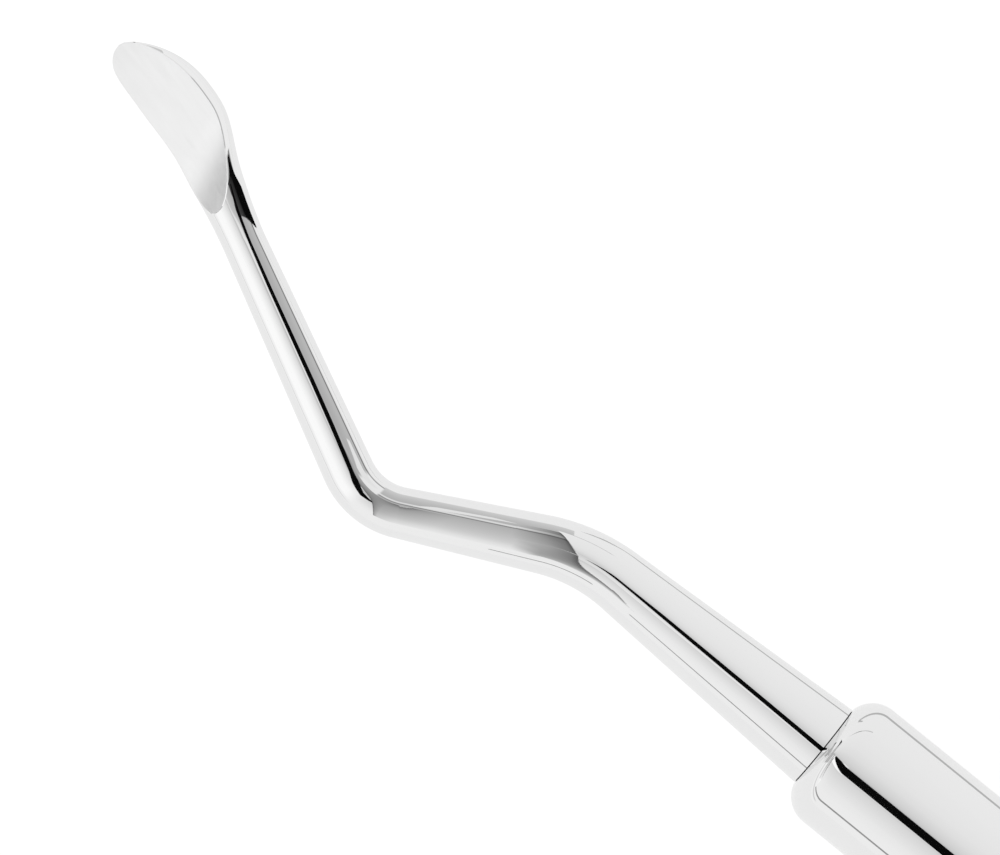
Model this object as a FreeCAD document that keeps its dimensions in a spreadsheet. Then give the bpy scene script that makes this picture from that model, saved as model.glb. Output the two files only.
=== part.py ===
import FreeCAD, Part
import math
import os

import Sketcher

Vector = FreeCAD.Vector
Rotation = FreeCAD.Rotation
Placement = FreeCAD.Placement

# Dental elevator, in millimetres.
#
# Frame of the part: +X runs along the handle towards the blade, +Z comes out of
# the ground face of the blade, and the origin is the middle of the lowest flat
# of the grip.
#
# The working end is drawn from the front face of the ferrule towards the blade.
# The pieces of the handle are drawn from that same face towards the tail, and
# their bodies are turned half round, so "depth" always means distance behind it.

SIZES = {
    # shank: straight runs joined by two bends, with a radius at each joint
    "lower_run": 15.25,
    "middle_run": 8.60,
    "upper_run": 14.90,
    "lower_bend_radius": 11.0,
    "lower_bend_angle": 26.6,
    "upper_bend_radius": 4.4,
    "upper_bend_angle": 53.0,
    "shank_base_radius": 2.71,
    "lower_bend_start_radius": 1.91,
    "lower_bend_end_radius": 1.76,
    "upper_bend_start_radius": 1.53,
    "upper_bend_end_radius": 1.53,
    "neck_radius": 1.30,
    # ground face of the blade, measured from the neck
    "face_tilt": 14.0,
    "face_skew": 35.0,
    "face_height": 0.35,
    "face_start": 5.50,
    "face_runout_radius": 7.40,
    "face_cut_end": 16.0,
    "face_cut_top": 2.20,
    "face_cut_width": 24.0,
    # tang that holds the working end in the handle
    "seat_radius": 2.30,
    "seat_depth": 0.80,
    "tang_radius": 2.00,
    "tang_length": 21.0,
    "tang_chamfer": 0.50,
    "pin_radius": 0.75,
    "pin_length": 6.20,
    "pin_depth": 18.0,
    # ferrule
    "ferrule_radius": 4.20,
    "ferrule_length": 13.0,
    "ferrule_front_round": 1.88,
    "seat_pocket_depth": 1.10,
    "spigot_radius": 3.20,
    "spigot_end": 23.0,
    "seam_width": 0.15,
    # grip shell
    "flare_start": 22.0,
    "grip_start": 36.0,
    "grip_middle": 60.0,
    "grip_end": 84.0,
    "grip_radius": 6.60,
    "flat_height": 6.20,
    "flat_cut_start": 25.0,
    "flat_cut_end": 95.0,
    "flat_cut_radius": 8.0,
    "flat_count": 8.0,
    "flare_round": 30.0,
    "chamber_start": 38.0,
    "chamber_end": 81.0,
    "chamber_radius": 5.20,
    "chamber_rear_end": 87.0,
    "groove_depth": 14.8,
    "groove_radius": 0.55,
    "groove_centre_radius": 4.40,
    "groove_pitch": 1.80,
    "groove_count": 3.0,
    # plug that closes the tail
    "shell_end": 97.0,
    "shell_end_radius": 4.75,
    "plug_spigot_radius": 3.70,
    "plug_spigot_start": 89.0,
    "plug_end": 106.0,
    "plug_round": 3.0,
}

# Cross-sections of the blade: distance from the neck, half width, sideways
# shift of the middle and half thickness.  Each one is an ellipse.
BLADE_SECTIONS = [
    ("root", 1.50, 1.35, -0.02, 1.31),
    ("heel", 3.00, 1.47, -0.04, 1.35),
    ("shoulder", 4.50, 1.63, -0.08, 1.34),
    ("swell", 6.00, 1.84, -0.19, 1.28),
    ("belly", 7.50, 2.08, -0.17, 1.19),
    ("widest", 9.00, 2.19, 0.10, 1.08),
    ("sweep", 10.50, 2.16, 0.51, 0.92),
    ("taper", 12.00, 1.93, 1.19, 0.68),
    ("point", 13.00, 1.44, 1.74, 0.42),
    ("nose", 13.50, 0.80, 1.90, 0.24),
    ("tip", 13.68, 0.32, 1.88, 0.12),
]
SECTION_VALUES = ("reach", "half_width", "shift", "half_thickness")

for section_name, *section_values in BLADE_SECTIONS:
    for kind, section_value in zip(SECTION_VALUES, section_values):
        SIZES[f"{section_name}_{kind}"] = section_value

doc = FreeCAD.newDocument("dental_elevator")


# ---------------------------------------------------------------- the sheet

def make_sheet():
    """Put every driving dimension in a spreadsheet, one alias for each."""
    sheet = doc.addObject("Spreadsheet::Sheet", "sizes")
    for row, (alias, size) in enumerate(SIZES.items(), start=1):
        sheet.set(f"A{row}", alias.replace("_", " "))
        sheet.set(f"B{row}", str(size))
        sheet.setAlias(f"B{row}", alias)
    doc.recompute()
    return sheet


def terms(formula):
    """Split 'one_size + other_size' into (sign, alias) pairs."""
    sign = 1
    for word in formula.split():
        if word == "+":
            sign = 1
        elif word == "-":
            sign = -1
        else:
            yield sign, word


def number(formula):
    """Value of a sum of aliases; '0' is zero."""
    if formula == "0":
        return 0.0
    return sum(sign * SIZES[alias] for sign, alias in terms(formula))


def bound(formula):
    """The same sum written for setExpression."""
    words = [f"{'+' if sign > 0 else '-'} sizes.{alias}" for sign, alias in terms(formula)]
    return " ".join(words).lstrip("+ ")


# ------------------------------------------------------- bodies and sketches

def new_body(name):
    body = doc.addObject("PartDesign::Body", name)
    body.Label = name
    return body


def place(body, half_turn):
    """Move a body from the front face of the ferrule to its place in the part."""
    turn = Rotation(Vector(0, 0, 1), 180 if half_turn else 0)
    body.Placement = Placement(Vector(number("grip_middle"), 0, number("flat_height")), turn)
    body.setExpression("Placement.Base.x", bound("grip_middle"))
    body.setExpression("Placement.Base.z", bound("flat_height"))


def new_sketch(body, name, role, offset=None):
    """Sketch on one of the body's own origin planes, moved by an offset in that plane's axes."""
    sketch = body.newObject("Sketcher::SketchObject", name)
    plane = next(item for item in body.Origin.OriginFeatures if item.Role == role)
    sketch.AttachmentSupport = [(plane, "")]
    sketch.MapMode = "FlatFace"
    if offset is not None:
        sketch.AttachmentOffset = offset
    return sketch


def bind(sketch, constraint, formula):
    """Add a dimension whose value comes from the sheet."""
    index = sketch.addConstraint(constraint)
    sketch.setExpression(f"Constraints[{index}]", formula)


def fix_point(sketch, geometry, position, x_formula, y_formula):
    """Hold a point at two sheet distances from the sketch origin."""
    for kind, formula, axis in (("DistanceX", x_formula, -2), ("DistanceY", y_formula, -1)):
        if formula == "0":
            sketch.addConstraint(Sketcher.Constraint("PointOnObject", geometry, position, axis))
            continue
        distance = Sketcher.Constraint(kind, -1, 1, geometry, position, number(formula))
        bind(sketch, distance, bound(formula))


def add_outline(sketch, corners):
    """Closed outline of straight edges through (x, y) corners given as sums of aliases."""
    points = [Vector(number(x), number(y), 0) for x, y in corners]
    for start, end in zip(points, points[1:] + points[:1]):
        sketch.addGeometry(Part.LineSegment(start, end))
    for index, (x, y) in enumerate(corners):
        following = (index + 1) % len(corners)
        sketch.addConstraint(Sketcher.Constraint("Coincident", index, 2, following, 1))
        fix_point(sketch, index, 1, x, y)


def add_circle(sketch, radius, x="0", y="0"):
    centre = Vector(number(x), number(y), 0)
    circle = sketch.addGeometry(Part.Circle(centre, Vector(0, 0, 1), number(radius)))
    bind(sketch, Sketcher.Constraint("Radius", circle, number(radius)), bound(radius))
    fix_point(sketch, circle, 3, x, y)


# ------------------------------------------------------------------ features

def revolve(body, name, corners):
    """Turned piece: outline of (depth, radius) corners turned about the X axis."""
    sketch = new_sketch(body, f"{name}_profile", "XY_Plane")
    add_outline(sketch, corners)
    turned = body.newObject("PartDesign::Revolution", name)
    turned.Profile = sketch
    turned.ReferenceAxis = (sketch, ["H_Axis"])
    turned.Angle = 360
    sketch.Visibility = False
    return turned


def pad_disc(body, name, radius, length):
    """Cylinder from the YZ plane towards -X."""
    sketch = new_sketch(body, f"{name}_circle", "YZ_Plane")
    add_circle(sketch, radius)
    pad = body.newObject("PartDesign::Pad", name)
    pad.Profile = sketch
    pad.Reversed = True
    pad.setExpression("Length", bound(length))
    return pad


def cross_hole(body, name, radius, depth, towards_tail):
    """Hole along Z through the whole body, on the X axis."""
    sketch = new_sketch(body, f"{name}_circle", "XY_Plane")
    centre = Vector(towards_tail * number(depth), 0, 0)
    circle = sketch.addGeometry(Part.Circle(centre, Vector(0, 0, 1), number(radius)))
    bind(sketch, Sketcher.Constraint("Radius", circle, number(radius)), bound(radius))
    sketch.addConstraint(Sketcher.Constraint("PointOnObject", circle, 3, -1))
    ends = (-1, 1, circle, 3) if towards_tail > 0 else (circle, 3, -1, 1)
    bind(sketch, Sketcher.Constraint("DistanceX", *ends, number(depth)), bound(depth))
    hole = body.newObject("PartDesign::Pocket", name)
    hole.Profile = sketch
    hole.Type = "ThroughAll"
    hole.Midplane = True
    return hole


def ring_edge(feature, depth, radius):
    """Name of the circular edge of a feature at this X and radius."""
    for index, edge in enumerate(feature.Shape.Edges, start=1):
        curve = edge.Curve
        if curve.TypeId != "Part::GeomCircle":
            continue
        if abs(curve.Center.x - depth) < 1e-4 and abs(curve.Radius - radius) < 1e-4:
            return f"Edge{index}"
    raise ValueError(f"no ring edge at {depth}, {radius}")


def dress_edge(body, kind, name, feature, places, size):
    """Fillet or chamfer on ring edges given as (depth, radius) sums of aliases."""
    doc.recompute()
    edges = [ring_edge(feature, number(depth), number(radius)) for depth, radius in places]
    dressed = body.newObject(f"PartDesign::{kind}", name)
    dressed.Base = (feature, edges)
    dressed.setExpression("Radius" if kind == "Fillet" else "Size", bound(size))
    return dressed


# --------------------------------------------------------------- working end

def walk_path():
    """Corners of the shank's centre line: x, y and heading where each run or bend meets the next."""
    steps = [
        ("lower_run", None, 0),
        ("lower_bend_radius", "lower_bend_angle", 1),
        ("middle_run", None, 0),
        ("upper_bend_radius", "upper_bend_angle", -1),
        ("upper_run", None, 0),
    ]
    x, y, heading = 0.0, 0.0, 0.0
    stops = [(x, y, heading)]
    for size, angle, side in steps:
        if angle is None:
            x += number(size) * math.cos(heading)
            y += number(size) * math.sin(heading)
        else:
            turned = heading + side * math.radians(number(angle))
            x += side * number(size) * (math.sin(turned) - math.sin(heading))
            y -= side * number(size) * (math.cos(turned) - math.cos(heading))
            heading = turned
        stops.append((x, y, heading))
    return stops


def add_run(sketch, start, end, length):
    line = sketch.addGeometry(Part.LineSegment(Vector(*start[:2], 0), Vector(*end[:2], 0)))
    bind(sketch, Sketcher.Constraint("Distance", line, number(length)), bound(length))
    return line


def add_bend(sketch, start, end, radius, angle, side):
    """Arc that turns left (side 1) or right (side -1); an arc always runs anticlockwise."""
    centre_x = start[0] - side * number(radius) * math.sin(start[2])
    centre_y = start[1] + side * number(radius) * math.cos(start[2])
    quarter = side * math.pi / 2
    angles = sorted((start[2] - quarter, end[2] - quarter))
    circle = Part.Circle(Vector(centre_x, centre_y, 0), Vector(0, 0, 1), number(radius))
    arc = sketch.addGeometry(Part.ArcOfCircle(circle, *angles))
    bind(sketch, Sketcher.Constraint("Radius", arc, number(radius)), bound(radius))
    span = Sketcher.Constraint("Angle", arc, math.radians(number(angle)))
    bind(sketch, span, f"{bound(angle)} * 1 deg")
    return arc


def make_path(body, stops):
    """Centre line of the shank: three straight runs joined by two tangent bends."""
    sketch = new_sketch(body, "shank_path", "XY_Plane")
    lower = add_run(sketch, stops[0], stops[1], "lower_run")
    first = add_bend(sketch, stops[1], stops[2], "lower_bend_radius", "lower_bend_angle", 1)
    middle = add_run(sketch, stops[2], stops[3], "middle_run")
    second = add_bend(sketch, stops[3], stops[4], "upper_bend_radius", "upper_bend_angle", -1)
    upper = add_run(sketch, stops[4], stops[5], "upper_run")
    sketch.addConstraint(Sketcher.Constraint("Coincident", lower, 1, -1, 1))
    sketch.addConstraint(Sketcher.Constraint("PointOnObject", lower, 2, -1))
    sketch.addConstraint(Sketcher.Constraint("Tangent", lower, 2, first, 1))
    sketch.addConstraint(Sketcher.Constraint("Tangent", first, 2, middle, 1))
    sketch.addConstraint(Sketcher.Constraint("Tangent", middle, 2, second, 2))
    sketch.addConstraint(Sketcher.Constraint("Tangent", second, 1, upper, 1))
    return sketch


def section_offset(x, y, heading):
    """Offset, in the YZ plane's axes, of a section square to the centre line at x, y."""
    return Placement(Vector(y, 0, x), Rotation(Vector(0, 1, 0), math.degrees(heading)))


def add_ellipse(sketch, half_width, half_thickness):
    """Ellipse about the sketch origin, wide along the sketch's X axis."""
    wide, thick = number(half_width), number(half_thickness)
    ellipse = sketch.addGeometry(Part.Ellipse(Vector(wide, 0, 0), Vector(0, thick, 0), Vector(0, 0, 0)))
    sketch.exposeInternalGeometry(ellipse)
    major, minor = ellipse + 1, ellipse + 2
    sketch.addConstraint(Sketcher.Constraint("Coincident", ellipse, 3, -1, 1))
    sketch.addConstraint(Sketcher.Constraint("Horizontal", major))
    bind(sketch, Sketcher.Constraint("Distance", major, 2 * wide), f"2 * {bound(half_width)}")
    bind(sketch, Sketcher.Constraint("Distance", minor, 2 * thick), f"2 * {bound(half_thickness)}")


def make_shank(body, stops):
    """Five tapered lengths, each swept along its own part of the path.  Returns the neck's section."""
    path = make_path(body, stops)
    radii = (
        "shank_base_radius",
        "lower_bend_start_radius",
        "lower_bend_end_radius",
        "upper_bend_start_radius",
        "upper_bend_end_radius",
        "neck_radius",
    )
    sections = []
    for index, (stop, radius) in enumerate(zip(stops, radii)):
        sketch = new_sketch(body, f"shank_section_{index}", "YZ_Plane", section_offset(*stop))
        add_circle(sketch, radius)
        sections.append(sketch)
    for index, (start, end) in enumerate(zip(sections, sections[1:]), start=1):
        length = body.newObject("PartDesign::AdditivePipe", f"shank_length_{index}")
        length.Profile = start
        length.Spine = (path, [f"Edge{index}"])
        length.Sections = [end]
        length.Transformation = "Multisection"
        doc.recompute()
    return sections[-1]


def make_blade(body, neck, neck_section):
    """Spoon-backed blade: one loft from the round neck through the ellipses."""
    x, y, heading = neck
    sections = []
    for name, *_ in BLADE_SECTIONS:
        reach = number(f"{name}_reach")
        shift = number(f"{name}_shift")
        middle_x = x + reach * math.cos(heading) - shift * math.sin(heading)
        middle_y = y + reach * math.sin(heading) + shift * math.cos(heading)
        sketch = new_sketch(body, f"blade_{name}", "YZ_Plane", section_offset(middle_x, middle_y, heading))
        add_ellipse(sketch, f"{name}_half_width", f"{name}_half_thickness")
        sections.append(sketch)
    blade = body.newObject("PartDesign::AdditiveLoft", "blade")
    blade.Profile = neck_section
    blade.Sections = sections


def face_offset(neck):
    """Offset of the grinding sketch: X along the skewed blade, Y out of the tilted face."""
    x, y, heading = neck
    along_blade = Rotation(Vector(0, 0, 1), math.degrees(heading))
    lean = Rotation(Vector(1, 0, 0), -number("face_tilt"))
    skew = Rotation(Vector(0, 0, 1), number("face_skew"))
    side_plane = Rotation(Vector(1, 0, 0), 90)
    turn = side_plane.inverted() * along_blade * lean * skew * side_plane
    return Placement(side_plane.inverted().multVec(Vector(x, y, 0)), turn)


def grind_face(body, neck):
    """Flat ground face that runs out in an arc at the heel of the blade."""
    sketch = new_sketch(body, "face_profile", "XZ_Plane", face_offset(neck))
    start, low = number("face_start"), number("face_height")
    end, top = number("face_cut_end"), number("face_cut_top")
    radius = number("face_runout_radius")
    rise_angle = math.acos(1 - (top - low) / radius)
    heel = Vector(start - radius * math.sin(rise_angle), top, 0)
    flat = sketch.addGeometry(Part.LineSegment(Vector(start, low, 0), Vector(end, low, 0)))
    tip_side = sketch.addGeometry(Part.LineSegment(Vector(end, low, 0), Vector(end, top, 0)))
    above = sketch.addGeometry(Part.LineSegment(Vector(end, top, 0), heel))
    circle = Part.Circle(Vector(start, low + radius, 0), Vector(0, 0, 1), radius)
    down = -math.pi / 2
    runout = sketch.addGeometry(Part.ArcOfCircle(circle, down - rise_angle, down))
    sketch.addConstraint(Sketcher.Constraint("Coincident", flat, 2, tip_side, 1))
    sketch.addConstraint(Sketcher.Constraint("Coincident", tip_side, 2, above, 1))
    sketch.addConstraint(Sketcher.Constraint("Coincident", above, 2, runout, 1))
    sketch.addConstraint(Sketcher.Constraint("Tangent", runout, 2, flat, 1))
    sketch.addConstraint(Sketcher.Constraint("Horizontal", above))
    fix_point(sketch, flat, 1, "face_start", "face_height")
    fix_point(sketch, tip_side, 1, "face_cut_end", "face_height")
    fix_point(sketch, tip_side, 2, "face_cut_end", "face_cut_top")
    bind(sketch, Sketcher.Constraint("Radius", runout, radius), bound("face_runout_radius"))
    ground = body.newObject("PartDesign::Pocket", "ground_face")
    ground.Profile = sketch
    ground.Midplane = True
    ground.setExpression("Length", bound("face_cut_width"))
    return ground


def make_working_end():
    """Blade, bent shank, seat and tang: one forging."""
    body = new_body("working_end")
    pad_disc(body, "seat", "seat_radius", "seat_depth")
    tang = pad_disc(body, "tang", "tang_radius", "tang_length")
    doc.recompute()
    end_edge = ring_edge(tang, -number("tang_length"), number("tang_radius"))
    chamfer = body.newObject("PartDesign::Chamfer", "tang_lead")
    chamfer.Base = (tang, [end_edge])
    chamfer.setExpression("Size", bound("tang_chamfer"))
    cross_hole(body, "tang_pin_hole", "pin_radius", "pin_depth", -1)
    doc.recompute()
    stops = walk_path()
    neck_section = make_shank(body, stops)
    make_blade(body, stops[-1], neck_section)
    doc.recompute()
    grind_face(body, stops[-1])
    place(body, half_turn=False)


# -------------------------------------------------------------------- handle

def make_ferrule():
    """Collar with the tang's bore and a spigot that goes into the grip shell."""
    body = new_body("front_ferrule")
    turned = revolve(body, "ferrule_turning", [
        ("seat_pocket_depth", "tang_radius"),
        ("seat_pocket_depth", "seat_radius"),
        ("0", "seat_radius"),
        ("0", "ferrule_radius"),
        ("ferrule_length - seam_width", "ferrule_radius"),
        ("ferrule_length", "ferrule_radius - seam_width"),
        ("ferrule_length", "spigot_radius"),
        ("spigot_end", "spigot_radius"),
        ("spigot_end", "tang_radius"),
    ])
    dress_edge(body, "Fillet", "ferrule_nose", turned, [("0", "ferrule_radius")], "ferrule_front_round")
    cross_hole(body, "ferrule_pin_hole", "pin_radius", "pin_depth", 1)
    place(body, half_turn=True)


def make_tang_pin():
    """Cross pin that keeps the tang in the ferrule."""
    body = new_body("tang_pin")
    sketch = new_sketch(body, "pin_circle", "XY_Plane")
    add_circle(sketch, "pin_radius", x="pin_depth")
    pin = body.newObject("PartDesign::Pad", "pin")
    pin.Profile = sketch
    pin.Midplane = True
    pin.setExpression("Length", bound("pin_length"))
    place(body, half_turn=True)


def make_tang_braze_ring():
    """Ring of filler at the bottom of the seat pocket."""
    body = new_body("tang_braze_ring")
    revolve(body, "tang_braze", [
        ("seat_depth", "tang_radius"),
        ("seat_depth", "seat_radius"),
        ("seat_pocket_depth", "seat_radius"),
        ("seat_pocket_depth", "tang_radius"),
    ])
    place(body, half_turn=True)


def cut_flats(body):
    """Eight flats along the grip: everything outside an octagon is milled away."""
    offset = Placement(Vector(0, 0, number("flat_cut_start")), Rotation())
    sketch = new_sketch(body, "octagon", "YZ_Plane", offset)
    sketch.setExpression("AttachmentOffset.Base.z", bound("flat_cut_start"))
    sides = int(number("flat_count"))
    corner_radius = number("flat_height") / math.cos(math.pi / sides)
    angles = [math.pi * (0.5 + (2 * index - 1) / sides) for index in range(sides)]
    corners = [Vector(math.cos(angle), math.sin(angle), 0) * corner_radius for angle in angles]
    for start, end in zip(corners, corners[1:] + corners[:1]):
        sketch.addGeometry(Part.LineSegment(start, end))
    guide = sketch.addGeometry(Part.Circle(Vector(0, 0, 0), Vector(0, 0, 1), corner_radius), True)
    sketch.addConstraint(Sketcher.Constraint("Coincident", guide, 3, -1, 1))
    for side in range(sides):
        sketch.addConstraint(Sketcher.Constraint("Coincident", side, 2, (side + 1) % sides, 1))
        sketch.addConstraint(Sketcher.Constraint("PointOnObject", side, 1, guide))
        if side > 0:
            sketch.addConstraint(Sketcher.Constraint("Equal", 0, side))
    sketch.addConstraint(Sketcher.Constraint("Horizontal", 0))
    height = Sketcher.Constraint("DistanceY", -1, 1, 0, 1, number("flat_height"))
    bind(sketch, height, bound("flat_height"))
    add_circle(sketch, "flat_cut_radius")
    flats = body.newObject("PartDesign::Pocket", "flats")
    flats.Profile = sketch
    flats.Reversed = True
    flats.setExpression("Length", bound("flat_cut_end - flat_cut_start"))


def cut_grooves(body):
    """Row of round-bottomed ring grooves behind the ferrule."""
    sketch = new_sketch(body, "groove_circle", "XY_Plane")
    add_circle(sketch, "groove_radius", x="groove_depth", y="groove_centre_radius")
    groove = body.newObject("PartDesign::Groove", "groove")
    groove.Profile = sketch
    groove.ReferenceAxis = (sketch, ["H_Axis"])
    groove.Angle = 360
    doc.recompute()
    grooves = body.newObject("PartDesign::LinearPattern", "grooves")
    grooves.Originals = [groove]
    axis = next(item for item in body.Origin.OriginFeatures if item.Role == "X_Axis")
    grooves.Direction = (axis, [""])
    grooves.Length = number("groove_pitch") * (number("groove_count") - 1)
    grooves.setExpression("Length", f"{bound('groove_pitch')} * ({bound('groove_count')} - 1)")
    grooves.Occurrences = int(number("groove_count"))
    grooves.setExpression("Occurrences", bound("groove_count"))
    body.Tip = grooves


def make_grip_shell():
    """Hollow grip: collar, flare, eight flats and a taper to the tail."""
    body = new_body("grip_shell")
    turned = revolve(body, "shell_turning", [
        ("ferrule_length", "spigot_radius"),
        ("ferrule_length", "ferrule_radius - seam_width"),
        ("ferrule_length + seam_width", "ferrule_radius"),
        ("flare_start", "ferrule_radius"),
        ("grip_start", "grip_radius"),
        ("grip_end", "grip_radius"),
        ("shell_end - seam_width", "shell_end_radius"),
        ("shell_end", "shell_end_radius - seam_width"),
        ("shell_end", "plug_spigot_radius"),
        ("chamber_rear_end", "plug_spigot_radius"),
        ("chamber_end", "chamber_radius"),
        ("chamber_start", "chamber_radius"),
        ("spigot_end", "spigot_radius"),
    ])
    turns = [("flare_start", "ferrule_radius"), ("grip_start", "grip_radius"), ("grip_end", "grip_radius")]
    dress_edge(body, "Fillet", "shell_flares", turned, turns, "flare_round")
    cut_grooves(body)
    doc.recompute()
    cut_flats(body)
    place(body, half_turn=True)


def make_seam_ring(name, depth, radius):
    """Hairline of filler that fills the V between two pieces of the handle."""
    body = new_body(name)
    revolve(body, f"{name}_turning", [
        (f"{depth} - seam_width", radius),
        (depth, f"{radius} - seam_width"),
        (f"{depth} + seam_width", radius),
    ])
    place(body, half_turn=True)


def make_rear_plug():
    """Round tail with a spigot pressed into the shell."""
    body = new_body("rear_plug")
    turned = revolve(body, "plug_turning", [
        ("plug_spigot_start", "0"),
        ("plug_spigot_start", "plug_spigot_radius"),
        ("shell_end", "plug_spigot_radius"),
        ("shell_end", "shell_end_radius - seam_width"),
        ("shell_end + seam_width", "shell_end_radius"),
        ("plug_end", "shell_end_radius"),
        ("plug_end", "0"),
    ])
    dress_edge(body, "Fillet", "plug_dome", turned, [("plug_end", "shell_end_radius")], "plug_round")
    place(body, half_turn=True)


# --------------------------------------------------------------------- write

def check_document():
    """Stop if any object failed or any sub-part has no sound solid."""
    for item in doc.Objects:
        if "Invalid" in item.State or "Error" in item.State:
            raise RuntimeError(f"{item.Name} failed: {item.State}")
    for body in doc.findObjects("PartDesign::Body"):
        if body.Shape.isNull() or not body.Shape.isValid() or len(body.Shape.Solids) != 1:
            raise RuntimeError(f"{body.Label} is not one valid solid")


def write_parts():
    os.makedirs("parts", exist_ok=True)
    for body in doc.findObjects("PartDesign::Body"):
        body.Shape.exportStep(f"parts/{body.Label}.step")
        box = body.Shape.BoundBox
        print(f"{body.Label}: {body.Shape.Volume:.2f} mm3, x {box.XMin:.2f} to {box.XMax:.2f}")


make_sheet()
make_working_end()
make_ferrule()
make_tang_pin()
make_tang_braze_ring()
make_grip_shell()
make_seam_ring("front_seam_braze_ring", "ferrule_length", "ferrule_radius")
make_seam_ring("rear_seam_braze_ring", "shell_end", "shell_end_radius")
make_rear_plug()
doc.recompute()
check_document()
write_parts()
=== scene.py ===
import math

import bpy
import numpy as np
from mathutils import Matrix, Vector


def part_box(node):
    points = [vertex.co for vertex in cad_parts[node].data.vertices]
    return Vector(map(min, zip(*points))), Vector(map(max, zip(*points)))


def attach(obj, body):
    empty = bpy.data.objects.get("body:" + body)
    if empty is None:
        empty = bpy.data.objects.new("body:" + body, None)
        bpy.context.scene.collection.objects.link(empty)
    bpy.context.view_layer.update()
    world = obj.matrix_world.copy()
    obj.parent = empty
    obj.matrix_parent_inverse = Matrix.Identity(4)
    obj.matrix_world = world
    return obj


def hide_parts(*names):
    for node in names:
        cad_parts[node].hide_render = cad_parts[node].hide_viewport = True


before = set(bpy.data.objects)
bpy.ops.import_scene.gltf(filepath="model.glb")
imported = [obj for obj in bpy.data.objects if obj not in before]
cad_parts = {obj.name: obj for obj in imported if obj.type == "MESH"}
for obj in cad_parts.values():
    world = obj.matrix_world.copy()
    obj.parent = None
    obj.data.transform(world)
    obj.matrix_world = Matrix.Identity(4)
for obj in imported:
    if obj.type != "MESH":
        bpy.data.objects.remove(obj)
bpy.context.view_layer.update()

# Dental elevator: the looks.  Everything is in metres in the row frame: +X runs
# along the handle to the blade and +Z comes out of the blade's ground face.
# Lengths below are in millimetres and are turned into metres when a mesh is made.
MM = 0.001

# Places that the frame gives
FRONT_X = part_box("front_ferrule")[1].x / MM
AXIS_Z = (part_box("rear_plug")[0].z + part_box("rear_plug")[1].z) / 2 / MM

# Shank: straight runs and bends, with the radius where each one ends
SHANK_START_RADIUS = 2.71
SHANK_STEPS = [
    ("run", 15.25, 0.0, 1.91),
    ("bend", 11.0, 26.6, 1.76),
    ("run", 8.60, 0.0, 1.53),
    ("bend", 4.4, -53.0, 1.53),
    ("run", 14.90, 0.0, 1.30),
]
SHANK_END_HEADING = math.radians(sum(angle for _, _, angle, _ in SHANK_STEPS))

# Blade: distance from the neck, half width, sideways shift, half thickness
BLADE_SECTIONS = [
    (0.00, 1.30, 0.00, 1.30),
    (1.50, 1.35, -0.02, 1.31),
    (3.00, 1.47, -0.04, 1.35),
    (4.50, 1.63, -0.08, 1.34),
    (6.00, 1.84, -0.19, 1.28),
    (7.50, 2.08, -0.17, 1.19),
    (9.00, 2.19, 0.10, 1.08),
    (10.50, 2.16, 0.51, 0.92),
    (12.00, 1.93, 1.19, 0.68),
    (13.00, 1.44, 1.74, 0.42),
    (13.50, 0.80, 1.90, 0.24),
    (13.68, 0.32, 1.88, 0.12),
]

BLADE_STATIONS = 260
CAP_STEPS = 6
CAP_REACH = 0.8  # of the half thickness at the tip

# Ground face of the blade
FACE_TILT = math.radians(14)
FACE_SKEW = math.radians(35)
FACE_HEIGHT = 0.35
FACE_START = 5.50
RUNOUT_RADIUS = 7.40
RUNOUT_REACH = 4.80


# ------------------------------------------------------------- mesh helpers

def make_piece(name, points, faces, node, materials, face_materials=None, sharp=()):
    """A piece in the row frame, smooth but for the edges in sharp, that stands for a CAD node."""
    mesh = bpy.data.meshes.new(name)
    mesh.from_pydata([Vector(point) * MM for point in points], [], faces)
    mesh.update()
    mesh.shade_smooth()
    for material in materials:
        mesh.materials.append(material)
    if face_materials is not None:
        mesh.polygons.foreach_set("material_index", face_materials)
    if len(sharp):
        marks = {tuple(sorted(edge)) for edge in sharp}
        flags = [tuple(sorted(edge.vertices)) in marks for edge in mesh.edges]
        attribute = mesh.attributes.new("sharp_edge", "BOOLEAN", "EDGE")
        attribute.data.foreach_set("value", flags)
    piece = bpy.data.objects.new(name, mesh)
    bpy.context.scene.collection.objects.link(piece)
    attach(piece, "root")
    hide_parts(node)
    return piece


def ring_faces(ring_count, size, closed=False):
    """Quads between rings of size points each; closed joins the last ring to the first."""
    faces = []
    last = ring_count if closed else ring_count - 1
    for ring in range(last):
        here, there = ring * size, (ring + 1) % ring_count * size
        for point in range(size):
            following = (point + 1) % size
            faces.append((here + point, here + following, there + following, there + point))
    return faces


# -------------------------------------------------------------- working end

def walk_shank():
    """Stations along the shank: x, y, heading and radius, close together in the bends."""
    x, y, heading, radius = 0.0, 0.0, 0.0, SHANK_START_RADIUS
    stations = [(x, y, heading, radius)]
    for kind, size, angle, end_radius in SHANK_STEPS:
        count = 40 if kind == "bend" else max(8, int(size / 0.4))
        turn = math.radians(angle)
        start = (x, y, heading, radius)
        for step in range(1, count + 1):
            share = step / count
            radius = start[3] + (end_radius - start[3]) * share
            if kind == "run":
                x = start[0] + size * share * math.cos(heading)
                y = start[1] + size * share * math.sin(heading)
            else:
                side = math.copysign(1, turn)
                heading = start[2] + turn * share
                x = start[0] + side * size * (math.sin(heading) - math.sin(start[2]))
                y = start[1] - side * size * (math.cos(heading) - math.cos(start[2]))
            stations.append((x, y, heading, radius))
    return stations


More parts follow.
